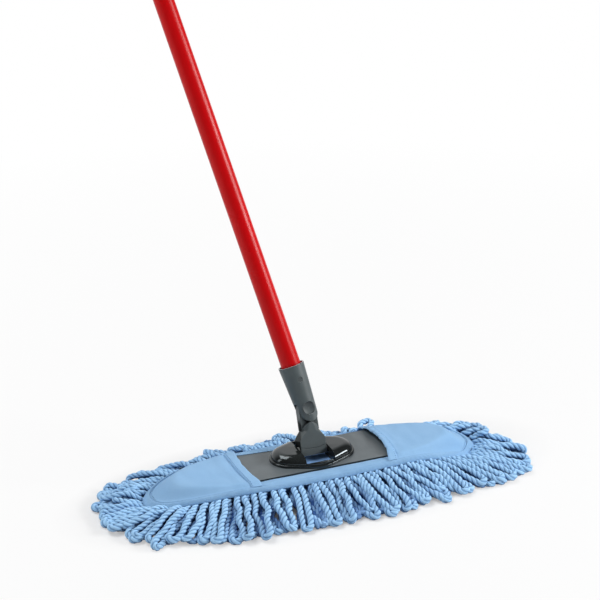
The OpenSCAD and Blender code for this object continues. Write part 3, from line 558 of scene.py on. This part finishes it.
for pocket in (left_side, right_side):
    hand, mouth_half = pocket["hand"], width_at(pocket["mouth"], seam_end_inset, seam_side_inset)
    along = np.concatenate([np.linspace(0, 0.32, 64), np.linspace(0.32, 1, 76)[1:]])
    across = np.sin(np.linspace(-math.pi / 2, math.pi / 2, 81))
    grid_u, grid_t = np.meshgrid(along, across, indexing="ij")
    start_x = mouth_line(pocket, grid_t * mouth_half)
    grid_x = start_x + (pocket_end - start_x) * grid_u
    grid_y = grid_t * width_at(grid_x, seam_end_inset, seam_side_inset)
    top = np.stack([hand * grid_x, grid_y, pocket_height(pocket, grid_x, grid_y)], -1)
    skin = grid_piece("pocket_" + pocket["name"], top, top - (0, 0, pocket_thick), pocket_blue)
    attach(skin, "base")
    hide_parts(pocket["name"] + "_pocket")

    grid_u, grid_t = np.meshgrid(np.linspace(0, 1, 17), np.linspace(-1, 1, 121), indexing="ij")
    rough_y = grid_t * mouth_half
    wander = ripple(rough_y, 0 * rough_y, pocket["seed"] + 2, 9 * mm) * hem_uneven
    start_x = mouth_line(pocket, rough_y) - hem_past_mouth
    stop_x = hem_line(pocket, rough_y) - hem_before_crease
    grid_x = start_x + (stop_x - start_x) * grid_u + wander * (1 - 0.7 * grid_u)
    grid_y = grid_t * (width_at(grid_x, seam_end_inset, seam_side_inset) - hem_short)
    fold = 0.3 + 0.7 * np.clip(np.sin(math.pi * grid_u) * 1.9, 0, 1)
    gather = ripple(grid_x * 0.4, grid_y, pocket["seed"] + 4, 4 * mm) * 0.25 * mm
    under = pocket_height(pocket, np.maximum(grid_x, mouth_line(pocket, grid_y)), grid_y) - hem_sunk
    top = np.stack([hand * grid_x, grid_y, under + hem_rim + fold * (hem_thick + gather)], -1)
    bottom = np.stack([hand * grid_x, grid_y, under], -1)
    hem = grid_piece("hem_" + pocket["name"], top, bottom, pocket_blue)
    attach(hem, "base")
    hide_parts(pocket["name"] + "_hem")


# Borders and binding. A strip of the same cloth shows before and behind the plate, and a folded tape
# binds the whole edge, rolled down over the roots of the yarn and sewn along its inner edge.
band_blue = woven("band_blue", (0.235, 0.425, 0.67), (0.28, 0.485, 0.73), threads=1900, slub=48,
                  depth=0.12 * mm)
border_thick, border_puff, border_uneven = 0.5 * mm, 0.6 * mm, 0.35 * mm
border_low, border_high, border_on_plate = 28.75 * mm, 29.0 * mm, 31.6 * mm
under_hem, under_plate, past_seam = 2 * mm, 1.5 * mm, 0.8 * mm
raised_x, raised_run, raised_y, raised_fall = -4 * mm, 16 * mm, 39 * mm, 4 * mm
# How far the back strip lies over the plate on the dome's left, in mm, by place in mm
over_plate = ([-80, -74, -34, -20, 80], [3.5, 4, 8, -0.4, -0.4])
for side, label in ((-1, "front"), (1, "back")):
    xs = np.linspace(-left_side["mouth"] - under_hem, right_side["mouth"] + under_hem, 130)
    grid_x, grid_v = np.meshgrid(xs, np.linspace(0, 1, 23), indexing="ij")
    over = np.interp(grid_x / mm, *over_plate) * mm if side > 0 else under_plate
    near, far = plate_half_w - over, width_at(grid_x, seam_end_inset, seam_side_inset - past_seam)
    grid_y = side * (near + (far - near) * grid_v)
    puff = np.sin(math.pi * grid_v) * border_puff
    puff += ripple(grid_x, grid_y, 31.0 + side, 14 * mm) * border_uneven
    lift = np.where(grid_v < 0.1, border_low, border_high + puff) - droop(grid_x, grid_y)
    if side > 0:
        raised = ease((raised_x - grid_x) / raised_run) * ease((raised_y - grid_y) / raised_fall)
        lift += (border_on_plate - lift) * raised
    top = np.stack([grid_x, grid_y, lift], -1)
    border = grid_piece("border_" + label, top, top - (0, 0, border_thick), band_blue)
    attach(border, "base")
    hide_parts(label + "_border")


def lengths_along(points):
    """Distance from the first point to each point of a line."""
    return np.concatenate([[0], np.cumsum(np.linalg.norm(np.diff(points, axis=0), axis=1))])


fine_angles = np.linspace(0, 2 * math.pi, 6001)
edge_sums = lengths_along(edge_xy(fine_angles, 0, 0))
edge_length = edge_sums[-1]


def angle_at(distance):
    """Outline angle at a distance along the cloth's edge, from the right end to the back."""
    return np.interp(np.mod(distance, edge_length), edge_sums, fine_angles)


# Section of the folded tape, round from its inner edge over the roll: share of its width in from the
# edge, and height above the cloth in mm
tape_section = [(1.0, 0.7), (0.95, 1.25), (0.89, 0.95), (0.85, 0.3), (0.81, 0.3), (0.77, 1.0), (0.7, 1.25),
                (0.58, 1.1), (0.4, 0.4), (0.24, -0.7), (0.1, -1.9), (0.0, -3.3), (0.03, -4.4), (0.14, -4.8),
                (0.3, -4.1), (0.6, -3.0), (0.88, -1.6), (1.0, -0.4)]
tape_end_w, tape_side_w = 10.8 * mm, 4.6 * mm
pucker_pitch, pucker_high, tape_uneven = 5.4 * mm, 0.16 * mm, 0.35 * mm
stations = 720
along = edge_length * np.arange(stations) / stations
pucker = np.sin(along / pucker_pitch * 2 * math.pi + 1.7 * np.sin(along * 37)) * pucker_high
soft = ripple(along, np.zeros_like(along), 57.0, 17 * mm) * tape_uneven
rings = []
for share, high in tape_section:
    xy = edge_xy(angle_at(along), share * tape_end_w, share * tape_side_w)
    weight = 0.2 if share > 0.82 else 1.0 if high < 1 else 0.6
    z = cloth_top - droop(xy[:, 0], xy[:, 1]) + high * mm + (pucker + soft) * weight
    rings.append(with_height(xy, z))
work = bmesh.new()
rings = add_rings(work, rings)
bridge(work, rings + rings[:1])
binding = finish_mesh(work, "edge_binding_tape", band_blue, 70)
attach(binding, "base")
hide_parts("edge_binding")


# Stitching. A blue lockstitch runs along the binding's inner edge and along each hem, sunk a little
# into the cloth so that every stitch shows as a short raised thread.
# The thread is painted a darker blue than the cloth, standing in for the shade along each stitch line
thread_blue = grained("thread_blue", (0.06, 0.15, 0.36), (0.1, 0.21, 0.45), grain=3000, patches=400,
                      smooth=0.6, rough=0.7, depth=0.03 * mm)
stitch_l, stitch_gap, seam_thread_r, hem_thread_r = 2.3 * mm, 0.9 * mm, 0.28 * mm, 0.26 * mm
seam_share, seam_thread_high, hem_thread_in = 0.83, 0.5 * mm, 2.2 * mm
# A stitch from end to end, in shares of its radius: how thick it is and how high it lies
stitch_form = [(0.35, -1.0), (0.9, -0.1), (1.0, 0.0), (0.9, -0.1), (0.35, -1.0)]
stitch_turns = [2 * math.pi * j / 6 for j in range(6)]


def points_at(distances, sums, points):
    """Points at distances along a line, from the distance to each of its own points."""
    return np.stack([np.interp(distances, sums, points[:, c]) for c in range(3)], -1)


def stitch_run(work, points, radius):
    """Short round threads laid end to end along a line of points."""
    sums = lengths_along(points)
    start = stitch_gap
    while start + stitch_l < sums[-1]:
        line = points_at(np.linspace(start, start + stitch_l, len(stitch_form)), sums, points)
        rings = []
        for k, (thick, high) in enumerate(stitch_form):
            ahead = Vector(line[min(k + 1, len(line) - 1)] - line[max(k - 1, 0)]).normalized()
            side = ahead.cross(Vector((0, 0, 1))).normalized()
            up = side.cross(ahead)
            middle = Vector(line[k]) + up * high * radius
            rings.append([middle + (side * math.cos(a) + up * math.sin(a)) * thick * radius
                          for a in stitch_turns])
        loft(work, add_rings(work, rings))
        start += stitch_l + stitch_gap


work = bmesh.new()
loop_angles = angle_at(np.linspace(0, edge_length, 1500))
xy = edge_xy(loop_angles, seam_share * tape_end_w, seam_share * tape_side_w)
seam_z = cloth_top - droop(xy[:, 0], xy[:, 1]) + seam_thread_high
stitch_run(work, with_height(xy, seam_z), seam_thread_r)
for pocket in (left_side, right_side):
    mouth_half = width_at(pocket["mouth"], seam_end_inset, seam_side_inset) - hem_short
    y = np.linspace(-0.985, 0.985, 200) * mouth_half
    x = hem_line(pocket, y) - hem_thread_in
    hem_z = pocket_height(pocket, x, y) + hem_thick
    stitch_run(work, np.stack([pocket["hand"] * x, y, hem_z], -1), hem_thread_r)
stitching = finish_mesh(work, "lockstitch", thread_blue, 80)
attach(stitching, "base")


# Yarn fringe. Thick three-ply twisted cords are doubled into loops and sewn side by side under the
# binding. Every second loop falls behind its neighbours, and a shorter row fills the space behind.
rope_r, ply_pitch, plies, rings_per_turn, fewest_rings = 3.8 * mm, 19.2 * mm, 3, 11, 8
ply_profile = np.tile([0.72, 0.89, 0.975, 1.0, 0.975, 0.89], plies)
ply_groove = np.tile([0.0, 0.72, 1.0, 1.0, 1.0, 0.72], plies)
ring_points = len(ply_profile)
rng, kinks = np.random.default_rng(40), np.random.default_rng(8)

# Fine fibres drawn out along each ply, and slow patches of shade
yarn_fibre, takes, gives = new_group("yarn_fibre", {"Patches": 60}, ["Height", "Shade"])
lay = put(yarn_fibre, "UVMap", uv_map="ply").outputs["UV"]
drawn_out = put(yarn_fibre, "Mapping", {"Vector": lay, "Scale": (140, 16, 1)}).outputs["Vector"]
spot = put(yarn_fibre, "TexCoord").outputs["Object"]
for place, scale, label in ((drawn_out, 4.0, "Height"), (spot, takes["Patches"], "Shade")):
    cloudy = {"Vector": place, "Scale": scale, "Detail": 3, "Roughness": 0.6}
    yarn_fibre.links.new(put(yarn_fibre, "TexNoise", cloudy).outputs["Fac"], gives[label])

yarn_blue, tree, shader = new_material("yarn_blue", (0.32, 0.54, 0.88), 0.85, {
    "Sheen Weight": 0.1, "Sheen Roughness": 0.5, "Specular IOR Level": 0.2})
twist = put(tree, "Group", node_tree=yarn_fibre).outputs
crest, lit = (put(tree, "Attribute", attribute_name=label).outputs["Fac"]
              for label in ("ply_crest", "loop_tone_and_shade"))
# Painted shade: loops that lie behind, and the middles of the inner row, carry a darker tone, with a little
# random tone on every loop
base = blend_colour(tree, lit, (0.014, 0.07, 0.27), (0.41, 0.69, 0.98))
varied = blend_colour(tree, remap(tree, twist["Shade"], after=(-0.15, 0.25)), base, (0.25, 0.5, 0.82))
# Painted shade in the groove between the plies
creased = blend_colour(tree, remap(tree, crest, after=(0.25, 1.0)), (0.02, 0.1, 0.32), varied)
# Painted shade where the cords crowd each other, from how much of the open air a point sees
nearby = put(tree, "AmbientOcclusion", {"Distance": 11 * mm}, samples=6)
open_air = remap(tree, nearby.outputs["AO"], (0.12, 0.6))
tree.links.new(blend_colour(tree, open_air, (0.012, 0.045, 0.17), creased), shader.inputs["Base Color"])
raise_bumps(tree, shader, twist["Height"], 0.35, 0.25 * mm)


def twisted_cords(name, cords):
    """One mesh of three-ply cords along smooth paths, with painted shade in the groove between the plies."""
    points, quads, crest, shade, uvs = [], [], [], [], []
    first = 0
    turn = np.arange(ring_points) / ring_points
    for path, tone, girth in cords:
        run = lengths_along(path)
        rings = max(fewest_rings, int(run[-1] / (ply_pitch / rings_per_turn)))
        at = np.linspace(0, run[-1], rings)
        line = points_at(at, run, path)
        ahead = np.gradient(line, axis=0)
        ahead /= np.linalg.norm(ahead, axis=1)[:, None]
        side = np.zeros_like(ahead)
        side[0] = np.cross(ahead[0], (0, 0, 1.0))
        side[0] /= np.linalg.norm(side[0])
        for k in range(1, rings):
            carried = side[k - 1] - ahead[k] * (side[k - 1] @ ahead[k])
            side[k] = carried / np.linalg.norm(carried)
        up = np.cross(side, ahead)
        phase = 2 * math.pi * (turn[None, :] - at[:, None] / ply_pitch)
        swell = girth * (1 + 0.05 * np.sin(at / (11 * mm) + 40 * girth))
        radius = rope_r * ply_profile * swell[:, None]
        points.append((line[:, None] + (np.cos(phase) * radius)[..., None] * side[:, None]
                       + (np.sin(phase) * radius)[..., None] * up[:, None]).reshape(-1, 3))
        index = first + np.arange(rings * ring_points).reshape(rings, ring_points)
        after = np.roll(index, -1, axis=1)
        quads.append(np.stack([index[:-1], after[:-1], after[1:], index[1:]], -1).reshape(-1, 4))
        crest.append(np.tile(ply_groove, rings))
        shade.append(np.repeat(np.interp(at, run, tone), ring_points))
        low, high = (np.stack(np.broadcast_arrays(v[:, None], turn[None, :]), -1) for v in (at[:-1], at[1:]))
        shift = np.array([0, 1 / ring_points])
        uvs.append(np.stack([low, low + shift, high + shift, high], 2).reshape(-1, 2))
        first += rings * ring_points
    points, quads = np.concatenate(points), np.concatenate(quads)
    mesh = bpy.data.meshes.new(name)
    mesh.vertices.add(len(points))
    mesh.vertices.foreach_set("co", points.astype(np.float32).ravel())
    mesh.loops.add(quads.size)
    mesh.loops.foreach_set("vertex_index", quads.astype(np.int32).ravel())
    mesh.polygons.add(len(quads))
    mesh.polygons.foreach_set("loop_start", np.arange(0, quads.size, 4, dtype=np.int32))
    mesh.update(calc_edges=True)
    layer = mesh.uv_layers.new(name="ply")
    layer.data.foreach_set("uv", np.concatenate(uvs).astype(np.float32).ravel())
    for label, values in (("ply_crest", crest), ("loop_tone_and_shade", shade)):
        values = np.concatenate(values).astype(np.float32)
        mesh.attributes.new(label, "FLOAT", "POINT").data.foreach_set("value", values)
    mesh.materials.append(yarn_blue)
    mesh.validate()
    mesh.shade_smooth()
    return add_object(name, mesh)


# Which way the loops lie along the front and the back, in degrees from straight out, by place in mm
front_lie = ([-197, -190, -175, -160, -136, -111, -70, -22, 15, 54, 100, 146, 158, 180, 190, 197],
             [-108, -94, -68, -48, -42, -24, -20, -4, 3, 13, 26, 32, 46, 54, 62, 70])
back_lie = ([-197, -150, -110, -60, -20, 20, 60, 90, 120, 150, 170, 185, 197],
            [-72, -58, -50, -42, -22, 20, 42, 50, 70, 84, 96, 112, 120])
# How far the loops reach along the front and the back, in mm, by place in mm
front_reach = ([-197, -185, -165, -120, 0, 120, 150, 175, 197], [49, 60, 67, 65, 61, 60, 70, 73, 45])
back_reach = ([-197, -150, 0, 150, 197], [49, 50, 47, 42, 44])


def loop_direction(distance):
    """Where a loop starts on the cloth's edge, the way it lies, and the way straight out of the edge."""
    root = edge_xy(angle_at(distance), 0, 0)
    ahead = edge_xy(angle_at(distance + 1 * mm), 0, 0) - edge_xy(angle_at(distance - 1 * mm), 0, 0)
    straight = np.array([ahead[1], -ahead[0]]) / np.linalg.norm(ahead)
    side, lies = (-1, front_lie) if root[1] < 0 else (1, back_lie)
    lie = math.radians(np.interp(root[0] / mm, *lies))
    return root, np.array([math.sin(lie), side * math.cos(lie)]), straight


def loop_path(root, out, reach, heights, widths, lie, kink):
    """The middle of a doubled cord, out along one leg and back along the other, and how far out it is."""
    root_z, tip_z, fall, lift = heights
    middle, tip_r = widths
    roll, sway, curl, turn = lie
    bent, turns, phase = kink
    c, s = math.cos(turn), math.sin(turn)
    out = np.array([out[0] * c - out[1] * s, out[0] * s + out[1] * c])
    side = np.array([-out[1], out[0]])
    body = reach - tip_r
    v = np.linspace(-0.12, 1, 32)
    held = np.clip(v, 0, 1)
    half = rope_r + (tip_r - rope_r) * held ** 0.9 + middle * np.sin(math.pi * held) ** 1.3
    rise = root_z + (tip_z - root_z) * held ** fall + lift * np.sin(math.pi * held ** 0.8)
    swing = sway * np.sin(2.6 * held) * held + curl * held ** 3
    legs = []
    for hand in (-1, 1):
        waver = bent * 4 * held * (1 - held) * np.sin(turns * held + hand * phase)
        offset = hand * half * np.cos(roll * held) + swing + waver
        xy = root + out * (v * body)[:, None] + side * offset[:, None]
        legs.append(with_height(xy, rise + hand * half * np.sin(roll * held)))
    arc = np.linspace(-math.pi / 2, math.pi / 2, 11)[1:-1]
    offset = tip_r * np.sin(arc) * math.cos(roll) + swing[-1]
    xy = root + out * (body + tip_r * np.cos(arc))[:, None] + side * offset[:, None]
    tip = with_height(xy, tip_z + tip_r * np.sin(arc) * math.sin(roll))
    path = np.concatenate([legs[0], tip, legs[1][::-1]])
    path[:, 2] = np.maximum(path[:, 2], rope_r * 0.97)
    for _ in range(2):
        path[1:-1] = 0.25 * path[:-2] + 0.5 * path[1:-1] + 0.25 * path[2:]
    return path, np.concatenate([v, np.ones(len(arc)), v[::-1]])


# Each row: its name and its pitch in mm, how far it reaches, how much lower its roots are and how high its
# tips lie in mm, how it falls, and how light its middle is painted, with painted shade on the loops behind
rows_of_loops = [("before", 17, 0.98, 0.0, 6.2, 1.5, 0.93), ("behind", 17, 1.02, -1.2, 3.8, 0.6, 0.62),
                 ("inner", 8, 0.9, -7.5, 3.8, 0.8, 0.03)]
root_under_cloth, end_from, end_span, corner_x = 7.2 * mm, 125 * mm, 45 * mm, 140 * mm
# Places along the mop: where the back's loops lie flat, where many of them stand up, and where the
# front's loops are sewn further apart, so that dark gaps show between them
flat_from, flat_to = 108 * mm, 136 * mm
tall_from, tall_to, tall_end = 48 * mm, 109 * mm, 160 * mm
open_from, open_to, open_share = -130 * mm, -30 * mm, 0.22
fringe = {label: [] for label in ("front", "back", "left", "right")}
for row, pitch, share, drop, tip_high, fall, light in rows_of_loops:
    upper, inner = float(row == "before"), float(row == "inner")
    distance = (1 - upper) * 0.5 * pitch * mm
    while distance < edge_length - 0.4 * pitch * mm:
        root, out, straight = loop_direction(distance)
        x, back = root[0], float(root[1] > 0)
        end = float(np.clip((abs(x) - end_from) / end_span, 0, 1))
        root_z = max(rope_r, cloth_top - droop(x, root[1]) - root_under_cloth + drop * mm)
        reach = np.interp(x / mm, *(back_reach if back else front_reach)) * mm
        reach *= share * (1 - 0.25 * end * inner) * rng.uniform(0.86, 1.06)
        tip_z = max(rope_r, (tip_high + upper * rng.uniform(-1.5, 2.5)) * mm)
        lift = (0.8 + upper * rng.uniform(0, 8) * max(end, 0.7 * back)) * mm
        middle = rng.choice([0.2, 0.8, 2.0, 4.5], p=[0.3, 0.3, 0.25, 0.15]) * mm
        tip_r = rng.uniform(3.7, 4.7) * mm + 1.0 * mm * end
        curl = rng.choice([-1, 0, 1], p=[0.2, 0.6, 0.2]) * rng.uniform(3, 9) * mm
        tall = upper and back and (tall_from < x < tall_to or x > tall_end)
        if back and flat_from < x < flat_to:
            lift, reach = 0.0, 0.8 * reach
        elif tall and rng.uniform() < 0.65:
            tip_z, reach = rng.uniform(17, 26) * mm, reach * rng.uniform(0.5, 0.65)
        elif upper and back and rng.uniform() < 0.35:
            tip_z, reach = rng.uniform(14, 21) * mm - 0.5 * droop(x), reach * rng.uniform(0.5, 0.75)
            tip_r, middle = rng.uniform(3.8, 5.0) * mm, rng.uniform(0.5, 2.5) * mm
        roll, sway = rng.normal(0, 0.4), rng.normal(0, 2.6 + 2.0 * end) * mm
        lie = (roll, sway, curl, rng.normal(0, 0.1))
        kink = kinks.uniform((0.5 * mm, 7, 0), (2.4 * mm, 15, 6.3))
        path, along = loop_path(root, out, reach, (root_z, tip_z, fall, lift), (middle, tip_r), lie, kink)
        label = "left" if x < -corner_x else "right" if x > corner_x else "back" if back else "front"
        # Painted shade on the middles of the loops behind and of the inner row
        dark = light * (1 - end * inner) + 0.5 * end * inner
        tone = np.interp(along, [0.1, 0.35, 0.65, 0.95], [0.95, dark, dark, 0.9 - 0.5 * inner])
        tone = np.clip(tone + rng.uniform(-0.08, 0.05), 0, 1)
        fringe[label].append((path, tone, rng.uniform(0.92, 1.06)))
        aslant = 1 - float(out @ straight)
        open_row = 1 + open_share * float(not back and not inner and open_from < x < open_to)
        crowded = 1 + 1.2 * end * (1 - inner)
        distance += pitch * mm * open_row * (1 + 1.2 * back * aslant) / crowded * rng.uniform(0.86, 1.14)
for label, cords in fringe.items():
    piece = twisted_cords("yarn_loops_" + label, cords)
    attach(piece, "base")
    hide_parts("fringe_" + label)


# Stage. A pale floor that fades to white away from the mop and keeps the shadow under the pad, a large
# lamp above, a strong soft lamp on the right and a weak tall one on the left, and the photograph's camera.
shadow_half_l, shadow_half_w, floor_half = 0.25, 0.112, 6


def plain_rays(tree):
    """Masks of the camera's rays, first alone and then with those that a gloss or glass sends on."""
    kind = put(tree, "LightPath").outputs
    seen = calculate(tree, "MAXIMUM", kind["Is Camera Ray"], kind["Is Glossy Ray"])
    return kind["Is Camera Ray"], calculate(tree, "MAXIMUM", seen, kind["Is Transmission Ray"])


def choose_shader(tree, mask, low, high, output):
    """Shows one shader where a mask is low and another where it is high."""
    mix = put(tree, "MixShader", {0: mask, 1: low.outputs[0], 2: high.outputs[0]})
    tree.links.new(mix.outputs[0], tree.nodes[output].inputs["Surface"])


floor_paint, tree, shader = new_material("floor_paint", (0.8, 0.8, 0.8), 0.9, {"Specular IOR Level": 0.0})
spot = put(tree, "TexCoord").outputs["Object"]
pad_size = {"Vector": spot, "Scale": (1 / shadow_half_l, 1 / shadow_half_w, 1)}
from_pad = put(tree, "Mapping", pad_size).outputs["Vector"]
far, near = (put(tree, "VectorMath", {0: way}, operation="LENGTH").outputs["Value"]
             for way in (spot, from_pad))
fade, shadow = remap(tree, far, (0.3, 1.1), (0.8, 1)), remap(tree, near, (0.8, 1.2), (0.06, 1))
pale = calculate(tree, "MULTIPLY", fade, shadow)
bright = calculate(tree, "MULTIPLY", pale, plain_rays(tree)[1])
white = put(tree, "Emission", {"Color": (1, 1, 1, 1), "Strength": 1.0})
choose_shader(tree, bright, shader, white, "Material Output")
work = bmesh.new()
bmesh.ops.create_grid(work, x_segments=2, y_segments=2, size=floor_half)
floor = finish_mesh(work, "studio_floor", floor_paint)

# The room is white to the camera. A gloss sees it white behind the mop and dim elsewhere
world = bpy.data.worlds.new("studio")
bpy.context.scene.world = world
world.use_nodes = True
tree = world.node_tree
soft = tree.nodes["Background"]
soft.inputs["Color"].default_value = (0.96, 0.98, 1.0, 1)
soft.inputs["Strength"].default_value = 0.2
heading = put(tree, "SeparateXYZ", {"Vector": put(tree, "TexCoord").outputs["Generated"]})
room = remap(tree, heading.outputs["Y"], (0.4, 0.75), (0.07, 1.0))
camera_ray, seen = plain_rays(tree)
backdrop = calculate(tree, "MAXIMUM", room, camera_ray)
plain = put(tree, "Background", {"Color": (1, 1, 1, 1), "Strength": backdrop})
choose_shader(tree, seen, soft, plain, "World Output")


def aim(name, data, place, target):
    """A lamp or a camera at a place, turned towards a target and level with the floor."""
    holder = add_object(name, data)
    turn = (Vector(target) - Vector(place)).to_track_quat("-Z", "Y")
    holder.matrix_world = Matrix.LocRotScale(Vector(place), turn, None)
    return holder


def soft_lamp(name, place, target, size, power):
    lamp = bpy.data.lights.new(name, "AREA")
    lamp.shape = "RECTANGLE"
    lamp.size, lamp.size_y = size
    lamp.energy = power
    aim(name, lamp, place, target)


soft_lamp("lamp_above", place=(-0.5, 0.5, 1.85), target=(0, 0, 0.03), size=(1.2, 1.0), power=23.5)
soft_lamp("lamp_right", place=(1.75, -1.0, 0.95), target=(0, 0, 0.1), size=(1.1, 0.5), power=40)
soft_lamp("lamp_left", place=(-1.9, 0.1, 1.0), target=(0, 0, 0.3), size=(0.5, 1.4), power=7)

# The camera stands to the left of the mop's front and looks down at the picture's middle, by the handle
camera_left, camera_down, camera_far = math.radians(23.1127), math.radians(23.6963), 2.8
picture_middle = Vector((-18.94 * mm, -11.77 * mm, 225.61 * mm))
camera_ahead = Vector((math.sin(camera_left) * math.cos(camera_down),
                       math.cos(camera_left) * math.cos(camera_down), -math.sin(camera_down)))
lens = bpy.data.cameras.new("photo_camera")
lens.sensor_width = 36
lens.lens = 157.47
camera = aim("photo_camera", lens, picture_middle - camera_far * camera_ahead, picture_middle)
bpy.context.scene.camera = camera
bpy.context.scene.view_settings.view_transform = "Standard"
